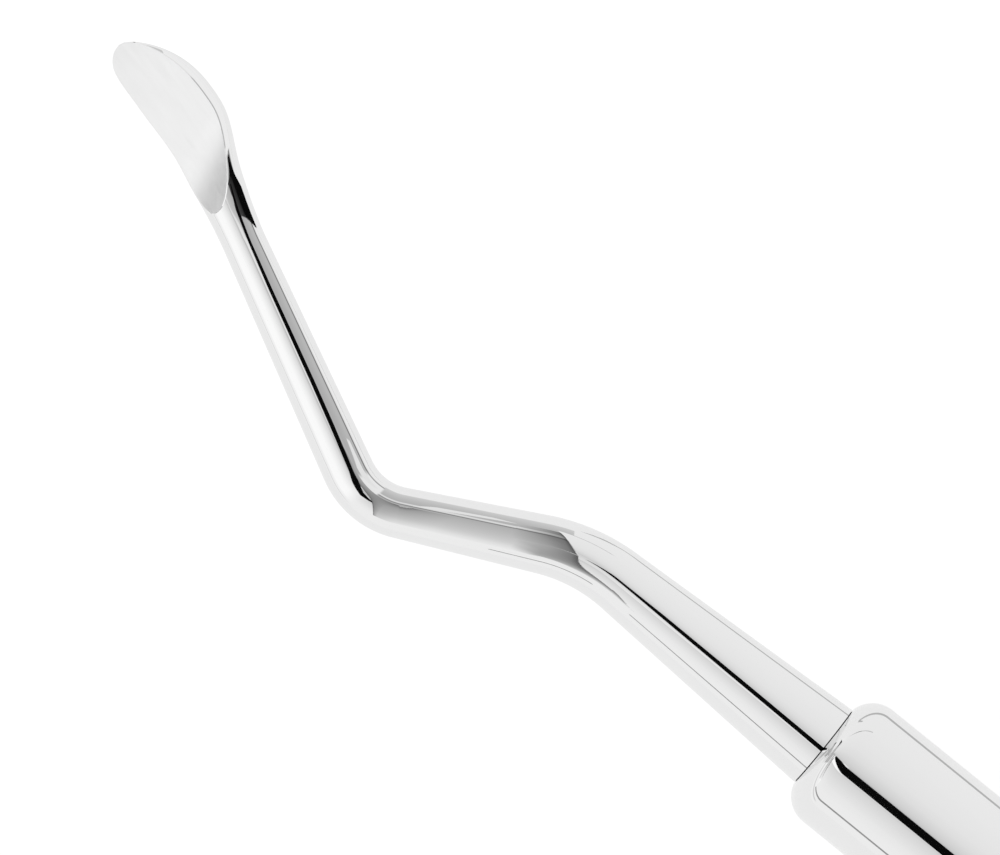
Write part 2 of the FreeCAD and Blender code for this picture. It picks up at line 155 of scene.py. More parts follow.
def smooth_through(knots, values, places):
    """Natural cubic spline through values at knots, read at places."""
    knots, values = np.asarray(knots, float), np.asarray(values, float)
    gaps = np.diff(knots)
    count = len(knots)
    system = np.eye(count)
    right = np.zeros((count, values.shape[1]))
    slopes = np.diff(values, axis=0) / gaps[:, None]
    for i in range(1, count - 1):
        system[i, i - 1:i + 2] = gaps[i - 1], 2 * (gaps[i - 1] + gaps[i]), gaps[i]
        right[i] = 6 * (slopes[i] - slopes[i - 1])
    curve = np.linalg.solve(system, right)
    index = np.clip(np.searchsorted(knots, places) - 1, 0, count - 2)
    gap = gaps[index][:, None]
    after = (places - knots[index])[:, None]
    before = gap - after
    return (
        curve[index] * before ** 3 / (6 * gap)
        + curve[index + 1] * after ** 3 / (6 * gap)
        + (values[index] / gap - curve[index] * gap / 6) * before
        + (values[index + 1] / gap - curve[index + 1] * gap / 6) * after
    )


def blade_sections():
    """Close sections of the blade, evenly spaced along its outline, with a rounded tip."""
    table = np.array(BLADE_SECTIONS)
    outline = table[:, [0, 1, 2]]
    steps = np.sqrt((np.diff(outline, axis=0) ** 2).sum(axis=1))
    knots = np.concatenate([[0.0], np.cumsum(steps)])
    rows = smooth_through(knots, table, np.linspace(0, knots[-1], BLADE_STATIONS))
    reach, half_width, shift, half_thickness = rows[-1]
    cap = []
    for step in range(1, CAP_STEPS + 1):
        angle = step / (CAP_STEPS + 0.5) * math.pi / 2
        cap.append((
            reach + half_thickness * CAP_REACH * math.sin(angle),
            half_width * math.cos(angle),
            shift,
            half_thickness * math.cos(angle),
        ))
    return np.vstack([rows, cap])


def face_level(along, across, up):
    """How far a point of the blade stands above the ground face."""
    level = across * math.sin(FACE_TILT) + up * math.cos(FACE_TILT)
    sideways = across * math.cos(FACE_TILT) - up * math.sin(FACE_TILT)
    place = along * math.cos(FACE_SKEW) + sideways * math.sin(FACE_SKEW)
    back = np.clip(FACE_START - place, 0, RUNOUT_REACH)
    rise = RUNOUT_RADIUS - np.sqrt(RUNOUT_RADIUS ** 2 - back ** 2)
    return level - FACE_HEIGHT - rise


def face_height_at(along, across):
    """Height of the ground face over a point of the blade, by halving."""
    low, high = np.full_like(across, -3.0), np.full_like(across, 3.0)
    for _ in range(40):
        middle = (low + high) / 2
        above = face_level(along, across, middle) > 0
        high = np.where(above, middle, high)
        low = np.where(above, low, middle)
    return (low + high) / 2


# Rings of the working end: points on the back and on the face, and where the face's points lie
# on a ring that isn't ground
BACK_POINTS = 120
FACE_POINTS = 60
RING = BACK_POINTS + FACE_POINTS
HEEL_ANGLE = math.radians(60)
SHANK_FACE_HALF = math.radians(25)
HEEL_FACE_SHARE = 0.1

# Broken edge of the ground face, and its largest share of the face's width
EDGE_BREAK = 0.04
EDGE_BREAK_SHARE = 0.15

# Angles at which the outline of a section is tried against the ground face
CUT_ANGLES = np.radians(np.linspace(-80, 260, 3401))


def section_level(along, half_width, shift, half_thickness):
    """How far the outline of a section stands above the ground face."""
    across = shift + half_width * np.cos(CUT_ANGLES)
    return face_level(along, across, half_thickness * np.sin(CUT_ANGLES))


def cut_angles(row):
    """Angles on the section's ellipse where the ground face starts and ends, or None."""
    angles, level = CUT_ANGLES, section_level(*row)
    above = np.nonzero(level > 0)[0]
    if len(above) < 2:
        return None
    first, last = above[0], above[-1]
    step = angles[1] - angles[0]
    start = angles[first] - step * level[first] / (level[first] - level[first - 1])
    end = angles[last] + step * level[last] / (level[last] - level[last + 1])
    return start, end


def section_ring(along, half_width, shift, half_thickness, cut, narrow):
    """Points (across, up) of one section: its back from right to left, then its face.

    Where the face is ground, the two edges between back and face are broken.
    """
    left, right = cut or (HEEL_ANGLE - narrow, HEEL_ANGLE + narrow)
    inner = np.arange(1, FACE_POINTS)
    if cut:
        corners = shift + half_width * np.cos([left, right])
        trim = min(EDGE_BREAK, EDGE_BREAK_SHARE * (corners[0] - corners[1]))
        share = (inner - 1) / (FACE_POINTS - 2)
        face_across = corners[0] - trim - (corners[0] - corners[1] - 2 * trim) * share
        face_up = face_height_at(along, face_across)
        speed = np.hypot(half_width * np.sin([left, right]), half_thickness * np.cos([left, right]))
        left, right = left - trim / speed[0], right + trim / speed[1]
    else:
        over = left + (right - left) * (inner / FACE_POINTS)
        face_across = shift + half_width * np.cos(over)
        face_up = half_thickness * np.sin(over)
    back = np.linspace(right, left + 2 * math.pi, BACK_POINTS + 1)
    across = shift + half_width * np.cos(back)
    up = half_thickness * np.sin(back)
    return np.concatenate([across, face_across]), np.concatenate([up, face_up])


def place_ring(x, y, heading, across, up):
    """Row-frame points of a ring square to the centre line at x, y."""
    return np.stack([
        FRONT_X + x - across * math.sin(heading),
        y + across * math.cos(heading),
        AXIS_Z + up,
    ], axis=1)


TANG_RADIUS = 2.0
SEAT_RADIUS = 2.3

# Tang and seat behind the ferrule's front: distance and radius
TANG = [
    (-21.0, 1.5), (-20.5, TANG_RADIUS), (-0.8, TANG_RADIUS), (-0.8, SEAT_RADIUS), (0.0, SEAT_RADIUS),
]


def shank_rings():
    """Rings of the tang, the seat and the shank, up to the blade."""
    places = [(distance, 0, 0, radius) for distance, radius in TANG] + walk_shank()[:-1]
    rings = []
    for x, y, heading, radius in places:
        across, up = section_ring(0, radius, 0, radius, None, SHANK_FACE_HALF)
        rings.append(place_ring(x, y, heading, across, up))
    return rings


def blade_rings():
    """Rings of the blade, and for each whether the ground face cuts it."""
    neck_x, neck_y, heading, _ = walk_shank()[-1]
    rows = [row for row in blade_sections() if section_level(*row)[[0, -1]].max() < 0]
    cuts = [cut_angles(row) for row in rows]
    first_cut = next(index for index, cut in enumerate(cuts) if cut)
    rings = []
    for index, (row, cut) in enumerate(zip(rows, cuts)):
        share = min(1, max(HEEL_FACE_SHARE, (first_cut - index) / first_cut))
        across, up = section_ring(*row, cut, SHANK_FACE_HALF * share)
        x = neck_x + row[0] * math.cos(heading)
        y = neck_y + row[0] * math.sin(heading)
        rings.append(place_ring(x, y, heading, across, up))
    return rings, [cut is not None for cut in cuts]


def make_working_end(polished, ground):
    """Tang, seat, bent shank and blade as one skin, with the ground face in its own material."""
    before_blade = shank_rings()
    blade, blade_is_ground = blade_rings()
    rings = before_blade + blade
    is_ground = [False] * len(before_blade) + blade_is_ground
    points = np.concatenate(rings)
    faces = ring_faces(len(rings), RING)
    face_materials = []
    sharp = []
    for ring in range(len(rings) - 1):
        ground_here = is_ground[ring] and is_ground[ring + 1]
        face_materials += [0] * (BACK_POINTS + 1)
        face_materials += [1 if ground_here else 0] * (FACE_POINTS - 2) + [0]
        if ground_here:
            for corner in (0, BACK_POINTS, BACK_POINTS + 1, RING - 1):
                sharp.append((ring * RING + corner, (ring + 1) * RING + corner))
    for ring in range(len(TANG) + 1):
        for point in range(RING):
            sharp.append((ring * RING + point, ring * RING + (point + 1) % RING))
    faces.append(tuple(range(RING))[::-1])
    faces.append(tuple(range(len(points) - RING, len(points))))
    face_materials += [0, 0]
    return make_piece(
        "working_end_forging", points, faces, "working_end",
        [polished, ground], face_materials, sharp,
    )


# ------------------------------------------------------------------- handle

GRIP_APOTHEM = 6.20
GRIP_RADIUS = 6.60
FLAT_COUNT = 8
FLAT_HALF = math.acos(GRIP_APOTHEM / GRIP_RADIUS)
SHARP_ANGLE = math.radians(14)
ROUND_POINTS = 192

# Depths behind the ferrule's front, and radii
POCKET_DEPTH = 1.1
NOSE_ROUND = 1.88
FERRULE_RADIUS = 4.2
FRONT_SEAM = 13.0
FRONT_SPIGOT_END = 23.0
FRONT_SPIGOT_RADIUS = 3.2
REAR_SEAM = 97.0
REAR_SPIGOT_START = 89.0
REAR_SPIGOT_RADIUS = 3.7
PLUG_RADIUS = 4.75
TAIL_END = 106.0
TAIL_ROUND = 3.0
SEAM_BREAK = 0.15


def grip_turns():
    """Angles round the grip, with one at each edge of every flat."""
    half_sector = math.pi / FLAT_COUNT
    across_flat = np.linspace(-FLAT_HALF, FLAT_HALF, 21)[:-1]
    across_corner = np.linspace(FLAT_HALF, 2 * half_sector - FLAT_HALF, 7)[:-1]
    sector = np.concatenate([across_flat, across_corner])
    starts = np.arange(FLAT_COUNT) * 2 * half_sector
    return (starts[:, None] + sector).ravel() + math.pi / 2


def with_flats(radius, turns):
    """Radius at each angle after the eight flats are milled."""
    sector = 2 * math.pi / FLAT_COUNT
    from_middle = (turns - math.pi / 2 + sector / 2) % sector - sector / 2
    return np.minimum(radius, GRIP_APOTHEM / np.cos(from_middle))


def lathe(name, profile, node, material, closed=True, flats=False):
    """(depth, radius) profile turned about the handle's axis; an open one gets two flat ends."""
    turns = grip_turns() if flats else np.linspace(0, 2 * math.pi, ROUND_POINTS, endpoint=False)
    size = len(turns)
    rings = []
    for depth, radius in profile:
        radii = with_flats(radius, turns) if flats else np.full(size, radius)
        rings.append(np.stack([
            np.full(size, FRONT_X - depth),
            radii * np.cos(turns),
            AXIS_Z + radii * np.sin(turns),
        ], axis=1))
    points = np.concatenate(rings)
    faces = ring_faces(len(rings), size, closed)
    if not closed:
        faces.append(tuple(range(size))[::-1])
        faces.append(tuple(range(len(points) - size, len(points))))
    piece = make_piece(name, points, faces, node, [material])
    piece.data.set_sharp_from_angle(angle=SHARP_ANGLE)
    return piece


def arc(centre_depth, centre_radius, radius, start, end, count):
    """Points of an arc in the (depth, radius) plane; angles in degrees from the +depth direction."""
    angles = np.radians(np.linspace(start, end, count))
    return [(centre_depth + radius * math.cos(a), centre_radius + radius * math.sin(a)) for a in angles]


def rounded(before, corner, after, radius, count=40):
    """Arc of this radius, tangent to both edges, in place of a corner of a profile."""
    before, corner, after = (Vector(point) for point in (before, corner, after))
    arriving, leaving = (corner - before).normalized(), (after - corner).normalized()
    turn = arriving.angle_signed(leaving)
    reach = radius * math.tan(abs(turn) / 2)
    start = corner - arriving * reach
    points = []
    for step in range(count + 1):
        share = step / count * turn
        ahead = radius * math.sin(abs(share))
        aside = radius * (1 - math.cos(share))
        side = Vector((arriving.y, -arriving.x)) * math.copysign(1, turn)
        points.append(tuple(start + arriving * ahead + side * aside))
    return points


def between(start, end, count):
    """Evenly spaced points strictly between two points of a profile."""
    start, end = Vector(start), Vector(end)
    return [tuple(start.lerp(end, step / count)) for step in range(1, count)]


def make_ferrule(polished):
    """Round collar: seat pocket, rounded nose, body and the spigot that the grip slides on to."""
    profile = [(POCKET_DEPTH, TANG_RADIUS), (POCKET_DEPTH, SEAT_RADIUS), (0.0, SEAT_RADIUS)]
    profile += arc(NOSE_ROUND, FERRULE_RADIUS - NOSE_ROUND, NOSE_ROUND, 180, 90, 40)
    profile += [(depth, FERRULE_RADIUS) for depth in (3.5, 8.0, FRONT_SEAM - SEAM_BREAK)]
    profile += [(FRONT_SEAM, FERRULE_RADIUS - SEAM_BREAK), (FRONT_SEAM, FRONT_SPIGOT_RADIUS)]
    profile += [(FRONT_SPIGOT_END, FRONT_SPIGOT_RADIUS), (FRONT_SPIGOT_END, TANG_RADIUS)]
    return lathe("ferrule", profile, "front_ferrule", polished)


GROOVE_DEPTHS = (14.8, 16.6, 18.4)
GROOVE_CENTRE_RADIUS = 4.40
GROOVE_ROUND = 0.55
GROOVE_ARC = (201.3, 338.7)
FLARE = [
    (22.0, FERRULE_RADIUS), (36.0, GRIP_RADIUS), (84.0, GRIP_RADIUS),
    (REAR_SEAM - SEAM_BREAK, PLUG_RADIUS),
]
FLARE_ROUND = 30.0
HOLLOW_RADIUS = 5.2


def make_grip_shell(satin):
    """Hollow grip: three ring grooves, a flare, eight flats and a taper to the tail."""
    profile = [
        (FRONT_SEAM, FRONT_SPIGOT_RADIUS), (FRONT_SEAM, FERRULE_RADIUS - SEAM_BREAK),
        (FRONT_SEAM + SEAM_BREAK, FERRULE_RADIUS),
    ]
    for depth in GROOVE_DEPTHS:
        profile += arc(depth, GROOVE_CENTRE_RADIUS, GROOVE_ROUND, *GROOVE_ARC, 24)
    front = rounded(profile[-1], FLARE[0], FLARE[1], FLARE_ROUND)
    shoulder = rounded(FLARE[0], FLARE[1], FLARE[2], FLARE_ROUND)
    hip = rounded(FLARE[1], FLARE[2], FLARE[3], FLARE_ROUND)
    profile += front + between(front[-1], shoulder[0], 40) + shoulder
    profile += between(shoulder[-1], hip[0], 60) + hip + between(hip[-1], FLARE[3], 50)
    profile += [FLARE[3], (REAR_SEAM, PLUG_RADIUS - SEAM_BREAK), (REAR_SEAM, REAR_SPIGOT_RADIUS)]
    profile += [(87.0, REAR_SPIGOT_RADIUS), (81.0, HOLLOW_RADIUS), (38.0, HOLLOW_RADIUS)]
    profile += [(FRONT_SPIGOT_END, FRONT_SPIGOT_RADIUS)]
    return lathe("grip", profile, "grip_shell", satin, flats=True)


def make_rear_plug(polished):
    """Round tail with its spigot."""
    profile = [(REAR_SPIGOT_START, REAR_SPIGOT_RADIUS), (REAR_SEAM, REAR_SPIGOT_RADIUS)]
    profile += [(REAR_SEAM, PLUG_RADIUS - SEAM_BREAK), (REAR_SEAM + SEAM_BREAK, PLUG_RADIUS)]
    profile += [(100.0, PLUG_RADIUS)]
    profile += arc(TAIL_END - TAIL_ROUND, PLUG_RADIUS - TAIL_ROUND, TAIL_ROUND, 90, 0, 40)
    return lathe("tail_plug", profile, "rear_plug", polished, closed=False)


# ---------------------------------------------------------------- materials

def new_material(name):
    """Material with nothing but a shader joined to its output."""
    material = bpy.data.materials.new(name)
    material.use_nodes = True
    nodes = material.node_tree.nodes
    nodes.clear()
    shader = nodes.new("ShaderNodeBsdfPrincipled")
    output = nodes.new("ShaderNodeOutputMaterial")
    material.node_tree.links.new(shader.outputs[0], output.inputs["Surface"])
    return material, shader


def feed(tree, socket, value):
    """Links a socket to another node's output, or sets it to a plain value."""
    if isinstance(value, bpy.types.NodeSocket):
        tree.links.new(value, socket)
    else:
        socket.default_value = value


def add_node(tree, kind, **inputs):
    """Node with some of its inputs set or linked, named with _ for a space."""
    node = tree.nodes.new(kind)
    for name, value in inputs.items():
        feed(tree, node.inputs[name.replace("_", " ")], value)
    return node


def math_node(tree, operation, *values):
    """Result of one sum; its values are numbers or other nodes' outputs."""
    node = tree.nodes.new("ShaderNodeMath")
    node.operation = operation
    for socket, value in zip(node.inputs, values):
        feed(tree, socket, value)
    return node.outputs[0]


def mix_colours(tree, factor, first, second):
    """Colour between two others, by a factor from 0 to 1."""
    mix = tree.nodes.new("ShaderNodeMix")
    mix.data_type = "RGBA"
    for index, value in ((0, factor), (6, first), (7, second)):
        feed(tree, mix.inputs[index], value)
    return mix.outputs[2]


def grain(tree, stretch, scale, detail, turn=0.0):
    """Noise from 0 to 1 in the piece's own coordinates, drawn out by stretch after a turn about Z."""
    place = tree.nodes.new("ShaderNodeTexCoord").outputs["Object"]
    mapping = add_node(tree, "ShaderNodeMapping", Vector=place, Scale=stretch)
    mapping.vector_type = "TEXTURE"
    mapping.inputs["Rotation"].default_value = (0, 0, turn)
    noise = add_node(tree, "ShaderNodeTexNoise", Vector=mapping.outputs[0], Scale=scale, Detail=detail)
    return noise.outputs["Fac"]


def spread(tree, value, low, high):
    """The middle half of a noise, opened out to low..high."""
    node = add_node(tree, "ShaderNodeMapRange", Value=value, To_Min=low, To_Max=high)
    node.inputs["From Min"].default_value = 0.3
    node.inputs["From Max"].default_value = 0.7
    return node.outputs["Result"]


def grey_tint(tree, value, low, high, tint=(1, 1, 1)):
    """Colour between two brightnesses of one tint."""
    dark = (*[part * low for part in tint], 1)
    light = (*[part * high for part in tint], 1)
    return mix_colours(tree, value, dark, light)


def metal(name, colour, roughness, height, depth, strength=1.0):
    """Metal from functions that draw its colour, its roughness and its surface marks."""
    material, shader = new_material(name)
    tree = material.node_tree
    shader.inputs["Metallic"].default_value = 1.0
    tree.links.new(colour(tree), shader.inputs["Base Color"])
    tree.links.new(roughness(tree), shader.inputs["Roughness"])
    bump = add_node(tree, "ShaderNodeBump", Height=height(tree), Distance=depth * MM, Strength=strength)
    tree.links.new(bump.outputs[0], shader.inputs["Normal"])
    return material


def polished_material():
    """Mirror polish with faint hairlines and a little unevenness left by the mop."""
    def colour(tree):
        return grey_tint(tree, grain(tree, (1, 1, 1), 160, 3), 0.86, 0.88)

    def roughness(tree):
        return spread(tree, grain(tree, (6, 1, 1), 1500, 4), 0.02, 0.045)

    def height(tree):
        return grain(tree, (4, 1, 1), 500, 2)

    return metal("polished_steel", colour, roughness, height, 0.0012)


def ground_material():
    """Ground face: fine scratches along the blade over soft clouds."""
    along_blade = SHANK_END_HEADING + math.radians(12)

    def colour(tree):
        clouds = grain(tree, (1.6, 1, 1), 420, 5, along_blade)
        streaks = grain(tree, (16, 1, 1), 2600, 3, along_blade)
        marks = math_node(tree, "MULTIPLY", clouds, streaks)
        return grey_tint(tree, spread(tree, marks, -0.2, 0.9), 0.87, 0.76)

    def roughness(tree):
        return spread(tree, grain(tree, (14, 1, 1), 5000, 3, along_blade), 0.30, 0.38)

    def height(tree):
        return grain(tree, (22, 1, 1), 7000, 4, along_blade)

    return metal("ground_steel", colour, roughness, height, 0.003, 0.4)


def satin_material():
    """Brushed grip: fine rings left by the belt, with a faint cloudiness."""
    def colour(tree):
        return grey_tint(tree, grain(tree, (1, 1, 1), 90, 4), 0.50, 0.60, (1.0, 0.995, 0.985))

    def roughness(tree):
        return spread(tree, grain(tree, (1, 12, 12), 4500, 3), 0.26, 0.40)

    def height(tree):
        return grain(tree, (1, 18, 18), 6500, 4)

    return metal("satin_steel", colour, roughness, height, 0.010, 0.6)


def braze_material():
    """Silver braze: a little warmer than the steel, flowed and slightly pitted."""
    def colour(tree):
        return grey_tint(tree, grain(tree, (1, 1, 1), 900, 3), 0.62, 0.74, (1.0, 0.95, 0.84))

    def roughness(tree):
        return spread(tree, grain(tree, (1, 1, 1), 2500, 4), 0.22, 0.42)

    def height(tree):
        return grain(tree, (1, 1, 1), 3500, 3)

    return metal("silver_braze", colour, roughness, height, 0.015, 0.6)


def pin_material():
    """Drawn wire: fine lines along the pin."""
    def colour(tree):
        return grey_tint(tree, grain(tree, (1, 1, 8), 1200, 3), 0.54, 0.62)

    def roughness(tree):
        return spread(tree, grain(tree, (1, 1, 14), 4000, 3), 0.25, 0.38)

    def height(tree):
        return grain(tree, (1, 1, 20), 6000, 3)

    return metal("pin_steel", colour, roughness, height, 0.006, 0.5)


# ------------------------------------------------------------------- studio

# Brightness of the studio by direction: for each band of azimuths in the row frame, the
# azimuth where it ends, how softly it ends, and stops of (degrees from straight up, brightness).
STUDIO = [
    (-128.0, 6.0, [(0, 0.66), (40, 0.58), (56, 0.50), (72, 0.20), (84, 0.14), (89, 0.40)]),
    (-103.0, 4.0, [
        (0, 0.66), (14, 0.60), (38, 0.47), (53, 0.50), (67, 0.545),
        (77, 0.53), (79, 0.20), (83, 0.20), (85, 0.85), (92, 0.90),
    ]),
    (-80.0, 1.5, [
        (0, 0.66), (5, 0.80), (12, 0.86), (41, 0.90), (76, 0.92), (78, 0.35), (82, 0.35), (84, 0.92),
    ]),
    (-50.0, 1.5, [
        (0, 0.60), (17, 0.545), (36, 0.48), (37, 0.28), (40, 0.28), (42, 0.80),
        (47, 0.80), (49, 0.50), (67, 0.57), (88, 0.68), (92, 0.90),
    ]),
    (0.0, 2.0, [
        (0, 0.66), (6, 0.74), (17, 0.84), (41, 0.90), (66, 0.92), (70, 0.25), (80, 0.25), (84, 0.93),
    ]),
    (77.0, 6.0, [
        (0, 0.70), (6, 0.81), (17, 0.93), (29, 1.02), (41, 1.09), (67, 1.10),
        (75, 1.00), (82, 0.98), (84, 0.60), (86, 0.98),
    ]),
    (103.0, 3.0, [
        (0, 0.62), (12, 0.66), (17, 0.78), (29, 0.85), (41, 0.92), (53, 0.955),
        (64, 0.96), (90, 0.96),
    ]),
    (132.0, 6.0, [(0, 0.60), (17, 0.66), (29, 0.74), (41, 0.84), (53, 0.96), (90, 0.96)]),
    (180.0, 1.0, [(0, 0.60), (40, 0.62), (56, 0.55), (72, 0.22), (84, 0.14), (89, 0.40)]),
]
BACKDROP = (1.0, 1.0, 1.0, 1.0)


def brightness_ramp(tree, tilt, stops):
    """Grey by tilt, where stops are (degrees from straight up, brightness)."""
    node = add_node(tree, "ShaderNodeValToRGB", Fac=tilt)
    elements = node.color_ramp.elements
    while len(elements) > 1:
        elements.remove(elements[-1])
    elements[0].position = stops[0][0] / 180
    elements[0].color = (*[stops[0][1]] * 3, 1)
    for angle, value in stops[1:]:
        element = elements.new(angle / 180)
        element.color = (value, value, value, 1)
    return node.outputs["Color"]


def make_world():
    """Studio by direction for the light and the reflections, with a plain backdrop for the eye."""
    world = bpy.data.worlds.new("studio")
    bpy.context.scene.world = world
    world.use_nodes = True
    tree = world.node_tree
    tree.nodes.clear()
    direction = tree.nodes.new("ShaderNodeTexCoord").outputs["Generated"]
    split = add_node(tree, "ShaderNodeSeparateXYZ", Vector=direction).outputs
    tilt = math_node(tree, "DIVIDE", math_node(tree, "ARCCOSINE", split["Z"]), math.pi)
    azimuth = math_node(tree, "DEGREES", math_node(tree, "ARCTAN2", split["Y"], split["X"]))
    colour = brightness_ramp(tree, tilt, STUDIO[0][2])
    for (edge, softness, _), (_, _, stops) in zip(STUDIO, STUDIO[1:]):
        fade = add_node(
            tree, "ShaderNodeMapRange", Value=azimuth, From_Min=edge - softness, From_Max=edge + softness,
        )
        fade.interpolation_type = "SMOOTHSTEP"
        following = brightness_ramp(tree, tilt, stops)
        colour = mix_colours(tree, fade.outputs["Result"], colour, following)
    seen = tree.nodes.new("ShaderNodeLightPath").outputs["Is Camera Ray"]
    background = add_node(tree, "ShaderNodeBackground", Color=mix_colours(tree, seen, colour, BACKDROP))
    add_node(tree, "ShaderNodeOutputWorld", Surface=background.outputs[0])


def stage_mesh(name, corners, faces, material):
    """Mesh that belongs to the stage and not to the object."""
    mesh = bpy.data.meshes.new(name)
    mesh.from_pydata([Vector(corner) * MM for corner in corners], [], faces)
    mesh.materials.append(material)
    plane = bpy.data.objects.new(name, mesh)
    bpy.context.scene.collection.objects.link(plane)
    return plane


# White table: its glow in the polish and to the eye, its own grey, and half its side
TABLE_GLOW = 0.73
TABLE_GLOW_SEEN = 0.85
TABLE_GREY = 0.27
TABLE_REACH = 3000


def make_floor():
    """White table, a little duller in the polish than to the eye."""
    material, shader = new_material("white_table")
    tree = material.node_tree
    seen = tree.nodes.new("ShaderNodeLightPath").outputs["Is Camera Ray"]
    glow = add_node(
        tree, "ShaderNodeMapRange", Value=seen, To_Min=TABLE_GLOW, To_Max=TABLE_GLOW_SEEN,
    )
    tree.links.new(glow.outputs["Result"], shader.inputs["Emission Strength"])
    shader.inputs["Base Color"].default_value = (TABLE_GREY, TABLE_GREY, TABLE_GREY, 1)
    shader.inputs["Roughness"].default_value = 0.9
    shader.inputs["Specular IOR Level"].default_value = 0.0
    shader.inputs["Emission Color"].default_value = (1, 1, 1, 1)
    reach = TABLE_REACH
    corners = [(-reach, -reach, 0), (reach, -reach, 0), (reach, reach, 0), (-reach, reach, 0)]
    return stage_mesh("table_top", corners, [(0, 1, 2, 3)], material)


# Cards hung over the shank.  They are seen only in the polish.
CARD_HEIGHT = 12.0
LOW_CARD_HEIGHT = 6.0
SLIT_HEIGHT = 4.0
CARD_FOLD = 60.0  # degrees from straight up, where a level card turns down
BLACK = 0.003


def card_material():
    """Card that glows with the brightness painted on its corners."""
    material = bpy.data.materials.new("studio_card")
    material.use_nodes = True
    nodes = material.node_tree.nodes
    nodes.clear()
    glow = nodes.new("ShaderNodeAttribute")
    glow.attribute_name = "glow"
    emission = nodes.new("ShaderNodeEmission")
    output = nodes.new("ShaderNodeOutputMaterial")
    material.node_tree.links.new(glow.outputs["Fac"], emission.inputs["Strength"])
    material.node_tree.links.new(emission.outputs[0], output.inputs["Surface"])
    return material


def card_point(run, along, angle, height, lowest=-6.0):
    """Place on a card that lies angle degrees to the right of the line straight up from the run."""
    x, y, heading = run
    lean = math.radians(angle)
    if abs(angle) < CARD_FOLD:
        right, up = height * math.tan(lean), height
    else:
        right = math.copysign(height * math.tan(math.radians(CARD_FOLD)), angle)
        up = max(lowest, right / math.tan(lean))
    return (
        FRONT_X + x + along * math.cos(heading) + right * math.sin(heading),
        y + along * math.sin(heading) - right * math.cos(heading),
        AXIS_Z + up,
    )


def hang_card(name, corners, faces, glows, material):
    """Card with a brightness at each corner, seen by reflections only."""
    card = stage_mesh(name, corners, faces, material)
    attribute = card.data.attributes.new("glow", "FLOAT", "POINT")
    attribute.data.foreach_set("value", glows)
    for kind in ("camera", "diffuse", "shadow", "transmission", "volume_scatter"):
        setattr(card, f"visible_{kind}", False)


def make_card(name, run, rows, material, height=CARD_HEIGHT):
    """rows: (along, slant, [(angle, glow), ...]) from the run's start to its end."""
    corners, glows = [], []
    for along, slant, stops in rows:
        for angle, glow in stops:
            side = max(-CARD_FOLD, min(CARD_FOLD, angle))
            shift = slant * height * math.tan(math.radians(side))
            corners.append(card_point(run, along + shift, angle, height))
            glows.append(glow)
    width = len(rows[0][2])
    faces = []
    for row in range(len(rows) - 1):
        for column in range(width - 1):
            first = row * width + column
            faces.append((first, first + 1, first + width + 1, first + width))
    hang_card(name, corners, faces, glows, material)


def make_flat_card(name, height, outline, glow, material):
    """Level card at a height over the axis, with its outline measured from the ferrule's front."""
    corners = [(FRONT_X + x, y, AXIS_Z + height) for x, y in outline]
    hang_card(name, corners, [tuple(range(len(corners)))], [glow] * len(corners), material)


def make_slit_along(name, stops, height, material):
    """Black strip over the shank, from stops of (distance along it, share, share).

    The two shares of the shank's radius, leftward, are where its top mirrors the strip's edges.
    """
    stations = np.array(walk_shank())
    steps = np.hypot(np.diff(stations[:, 0]), np.diff(stations[:, 1]))
    lengths = np.concatenate([[0.0], np.cumsum(steps)])
    corners = []
    for distance, *shares in stops:
        x, y, heading, radius = (np.interp(distance, lengths, column) for column in stations.T)
        beyond = max(0.0, distance - lengths[-1])
        for share in shares:
            lean = math.asin(share)
            left = radius * share + (height - radius * math.cos(lean)) * math.tan(2 * lean)
            corners.append((
                FRONT_X + x + beyond * math.cos(heading) - left * math.sin(heading),
                y + beyond * math.sin(heading) + left * math.cos(heading),
                AXIS_Z + height,
            ))
    faces = [(i, i + 1, i + 3, i + 2) for i in range(0, len(corners) - 2, 2)]
    hang_card(name, corners, faces, [BLACK] * len(corners), material)


def heading_vector(heading):
    """Level unit vector at an angle from +X."""
    return Vector((math.cos(heading), math.sin(heading), 0))


CROSSING_LENGTH = 7.5
CROSSING_WIDTH = 2.5
CROSSING_TURN = math.radians(-2.6)
CROSSING_SIDE = 4.2
CROSSING_SIDE_HEADING = math.radians(-80)
CROSSING_GLOW = 0.86


def make_crossing_card(material):
    """Light card over the middle of the upper bend, where all that its inner side mirrors crosses."""
    radius = SHANK_STEPS[3][1]
    x, y, _, _ = next(stop for stop in walk_shank()[::-1] if stop[2] > SHANK_END_HEADING + 1e-6)
    aside = SHANK_END_HEADING - math.pi / 2
    centre = Vector((FRONT_X + x, y, AXIS_Z + LOW_CARD_HEIGHT)) + heading_vector(aside) * radius
    width = heading_vector(SHANK_END_HEADING) * CROSSING_WIDTH
    corners = [
        centre,
        centre + heading_vector(aside + CROSSING_TURN) * CROSSING_LENGTH,
        centre + heading_vector(aside) * CROSSING_LENGTH + width,
        centre + heading_vector(CROSSING_SIDE_HEADING) * CROSSING_SIDE,
    ]
    hang_card("crossing_card", corners, [(0, 1, 2, 3)], [CROSSING_GLOW] * 4, material)


HEEL_REACH = 3.0
HEEL_CARD_DISTANCE = 26.0
HEEL_CARD_HALF = 14.0
HEEL_CARD_HEIGHTS = (2.0, 20.0)
HEEL_CARD_GLOW = 0.52


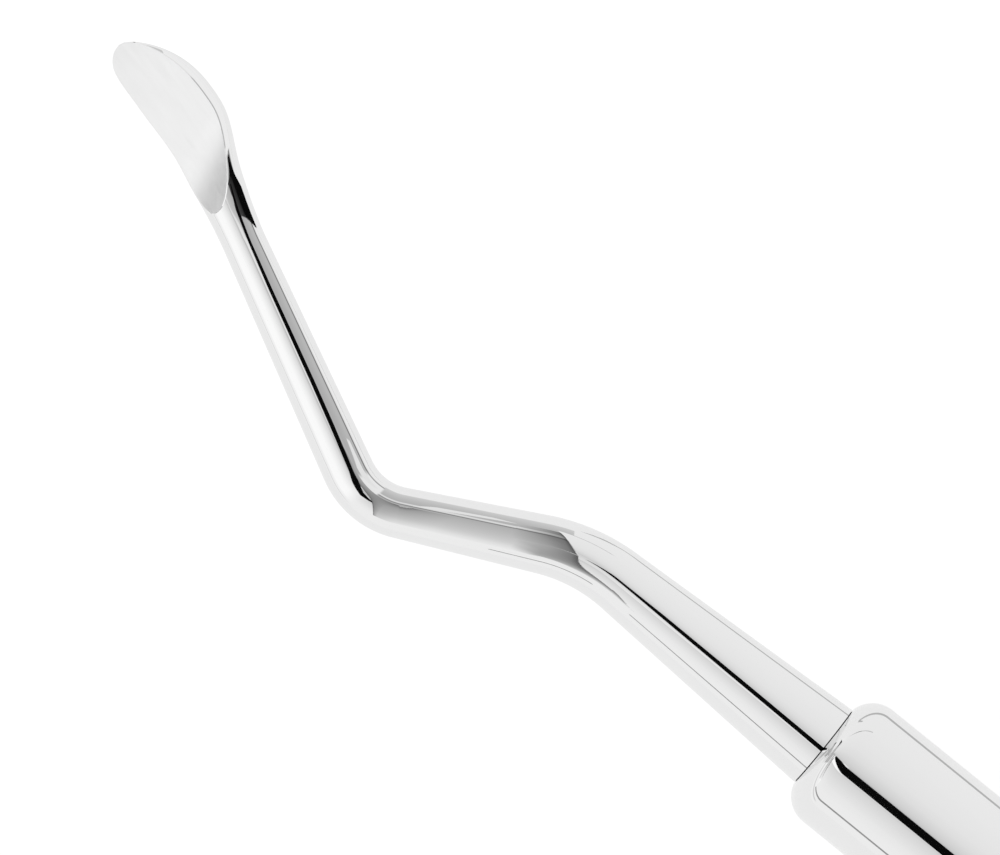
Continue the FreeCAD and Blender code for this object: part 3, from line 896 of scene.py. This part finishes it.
def make_heel_card(neck, material):
    """Grey card standing in front of the blade, seen in the run-out at the face's heel."""
    x, y, heading = neck
    heel = Vector((FRONT_X + x, y, AXIS_Z)) + heading_vector(heading) * HEEL_REACH
    facing = heading + FACE_SKEW
    ahead = heading_vector(facing) * HEEL_CARD_DISTANCE
    aside = heading_vector(facing + math.pi / 2) * HEEL_CARD_HALF
    low, high = (Vector((0, 0, height)) for height in HEEL_CARD_HEIGHTS)
    corners = [
        heel + ahead - aside + low, heel + ahead + aside + low,
        heel + ahead + aside + high, heel + ahead - aside + high,
    ]
    hang_card("heel_card", corners, [(0, 1, 2, 3)], [HEEL_CARD_GLOW] * 4, material)


def painted(angles, glows):
    """Stops of (angle, glow) across one row of a card."""
    return list(zip(angles, glows))


def make_slit_cards(lower, material):
    """Black slit along the top of the ferrule, the lower run and the upper run."""
    make_card("lower_slit_card", lower, [
        (-40.0, 0, painted([-13.5, -2.0], [BLACK] * 2)),
        (0.0, 0, painted([-12.5, -2.0], [BLACK] * 2)),
        (13.0, 0, painted([-6.0, 4.0], [BLACK] * 2)),
        (16.5, 0, painted([-3.5, 3.0], [BLACK] * 2)),
        (18.4, 0, painted([-2.2, -1.8], [BLACK] * 2)),
    ], material)
    far_outline = [(80, 0.5), (600, 6), (600, 45), (80, 14)]
    make_flat_card("far_slit_card", CARD_HEIGHT, far_outline, BLACK, material)
    make_slit_along("upper_slit_card", [
        (30.77, 0.03, 0.07), (31.55, -0.02, 0.14), (32.40, -0.175, 0.055), (33.03, -0.20, -0.04),
        (36.03, -0.265, -0.09), (39.03, -0.29, -0.12), (44.93, -0.295, -0.14), (47.93, -0.32, -0.195),
        (49.8, -0.37, -0.25), (51.4, -0.44, -0.40),
    ], SLIT_HEIGHT, material)


def make_lower_cards(lower, material):
    """Soft white on both sides of the lower run and the ferrule."""
    right = painted([12, 22, 35, 59], [0.83, 0.88, 0.90, 0.92])
    make_card("lower_right_card", lower, [
        (-14.0, 0, [(-0.5, 0.66), (4, 0.74)] + right),
        (0.0, 0, [(0.0, 0.66), (4, 0.74)] + right),
        (13.0, 0, [(4.5, 0.66), (8, 0.76)] + right),
        (18.6, 0.66, [(1.0, 0.66), (5, 0.74)] + right),
    ], material, LOW_CARD_HEIGHT)
    side = painted([61, 88], [0.92, 0.93])
    side_rows = [(-14.0, 0, side), (23.2, 0, side)]
    make_card("lower_side_card", lower, side_rows, material, LOW_CARD_HEIGHT)
    left_angles = [-14, -17, -29, -41, -53, -66.5, -67, -69.5]
    left_glows = [0.70, 0.77, 0.85, 0.92, 0.95, 0.96]
    make_card("lower_left_card", lower, [
        (-40.0, 0, painted(left_angles, left_glows + [0.32, 0.32])),
        (15.5, 0, painted(left_angles, left_glows + [0.32, 0.32])),
        (18.6, 0.25, painted(left_angles, left_glows + [0.50, 0.50])),
    ], material)


def make_middle_cards(middle, material):
    """Grey along the middle run, dark where it starts and again before the upper bend."""
    start_right = [0, 15, 32, 33, 36, 38, 43, 45, 57]
    make_card("middle_start_right_card", middle, [
        (-1.85, 0.1, painted(start_right, [0.10, 0.10, 0.08, 0.06, 0.06, 0.12, 0.12, 0.08, 0.06])),
        (-1.4, 0.09, painted(start_right, [0.22, 0.22, 0.20, 0.13, 0.13, 0.34, 0.34, 0.22, 0.22])),
        (0.0, 0.05, painted(start_right, [0.39, 0.34, 0.26, 0.16, 0.16, 0.50, 0.50, 0.33, 0.33])),
        (2.2, 0, painted(start_right, [0.60, 0.53, 0.48, 0.28, 0.28, 0.80, 0.80, 0.50, 0.56])),
    ], material, LOW_CARD_HEIGHT)
    start_left = [-50, -45, -35, -20, 0]
    make_card("middle_start_left_card", middle, [
        (-1.45, -0.19, painted(start_left, [0.50, 0.20, 0.12, 0.10, 0.10])),
        (-1.05, -0.19, painted(start_left, [0.80, 0.45, 0.30, 0.24, 0.22])),
        (0.3, -0.14, painted(start_left, [0.95, 0.72, 0.48, 0.41, 0.39])),
        (2.4, -0.05, painted(start_left, [0.96, 0.93, 0.82, 0.70, 0.60])),
    ], material)
    across = painted([-50, -35, -20, 0, 17, 30], [0.96, 0.84, 0.70, 0.60, 0.54, 0.50])
    fading = [
        (2.4, -0.05, 1.00), (7.0, -0.10, 0.98), (8.6, -0.20, 0.86),
        (10.2, -0.29, 0.72), (10.9, -0.29, 0.45), (11.1, -0.29, 0.20),
    ]
    make_card("middle_card", middle, [
        (along, slant, [(angle, glow * share) for angle, glow in across])
        for along, slant, share in fading
    ], material)
    make_crossing_card(material)


def make_neck_cards(neck, material):
    """Dark wedge beside the neck, white beyond it, and grey for the heel of the face."""
    make_card("neck_shade_card", neck, [
        (0.9, 0, painted([92, 93, 94, 100], [BLACK] * 4)),
        (1.6, 0, painted([36, 59, 61, 100], [0.06, 0.02, BLACK, BLACK])),
        (2.9, 0, painted([33, 59, 61, 98], [0.05, 0.02, BLACK, BLACK])),
        (3.7, 0, painted([36, 59, 61, 82], [0.04, 0.02, BLACK, BLACK])),
        (4.1, 0, painted([50, 59, 61, 78], [BLACK] * 4)),
        (4.6, 0, painted([66, 67, 68, 74], [BLACK] * 4)),
    ], material, LOW_CARD_HEIGHT)
    shoulder = painted([28, 32, 59, 61, 92], [0.60, 0.95, 0.96, 0.96, 0.95])
    shoulder_rows = [(4.7, 0, shoulder), (26.0, 0, shoulder)]
    make_card("shoulder_card", neck, shoulder_rows, material, LOW_CARD_HEIGHT)
    make_heel_card(neck, material)


LINE_GLOW = 0.5
LINE_CLEARANCE = 0.1


def make_line_card(material):
    """Thin line at the right edge of the lower run: a grey strip just over the table."""
    outline = [
        (-40, -15), (16, -15), (22, -19), (33, -42), (36, -46), (25, -24), (18, -18.5), (-40, -18),
    ]
    make_flat_card("floor_line_card", LINE_CLEARANCE - AXIS_Z, outline, LINE_GLOW, material)


def make_cards():
    """All the cards, hung from where the lower run, the middle run and the blade start."""
    material = card_material()
    lower = (0.0, 0.0, 0.0)
    middle_heading = math.radians(SHANK_STEPS[1][2])
    bend = SHANK_STEPS[1][1]
    middle = (
        SHANK_STEPS[0][1] + bend * math.sin(middle_heading),
        bend * (1 - math.cos(middle_heading)),
        middle_heading,
    )
    neck = walk_shank()[-1][:3]
    make_slit_cards(lower, material)
    make_lower_cards(lower, material)
    make_middle_cards(middle, material)
    make_neck_cards(neck, material)
    make_line_card(material)


# ------------------------------------------------------------------- camera

# Middle of the view, measured from the ferrule's front, and the width that the view takes in
VIEW_CENTRE = (26.47, -2.58)
FRAME_WIDTH = 58.8235
LENS = 200.0
SENSOR = 36.0
UP_AXIS = Vector((0.6298, -0.77676, 0))
VIEW_LEAN = math.radians(2.5)


def make_camera():
    """Long lens from above, leaning a little to the tail, with the blade at the upper left."""
    data = bpy.data.cameras.new("camera")
    data.lens = LENS
    data.sensor_width = SENSOR
    data.clip_start = 0.01
    data.clip_end = 20
    camera = bpy.data.objects.new("camera", data)
    bpy.context.scene.collection.objects.link(camera)
    bpy.context.scene.camera = camera
    target = Vector((FRONT_X + VIEW_CENTRE[0], VIEW_CENTRE[1], AXIS_Z)) * MM
    back = Vector((-math.sin(VIEW_LEAN), 0, math.cos(VIEW_LEAN)))
    right = UP_AXIS.cross(back).normalized()
    up = back.cross(right)
    distance = FRAME_WIDTH * MM * LENS / SENSOR
    turn = Matrix((right, up, back)).transposed().to_4x4()
    camera.matrix_world = Matrix.Translation(target + back * distance) @ turn


# -------------------------------------------------------------------- scene

polished = polished_material()
braze = braze_material()
make_working_end(polished, ground_material())
make_ferrule(polished)
make_grip_shell(satin_material())
make_rear_plug(polished)
finishes = {
    "tang_pin": pin_material(),
    "tang_braze_ring": braze,
    "front_seam_braze_ring": braze,
    "rear_seam_braze_ring": braze,
}
for name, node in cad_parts.items():
    node.data.materials.clear()
    node.data.materials.append(finishes.get(name, polished))
make_world()
make_floor()
make_cards()
make_camera()
scene = bpy.context.scene
scene.view_settings.view_transform = "Standard"
scene.view_settings.look = "None"
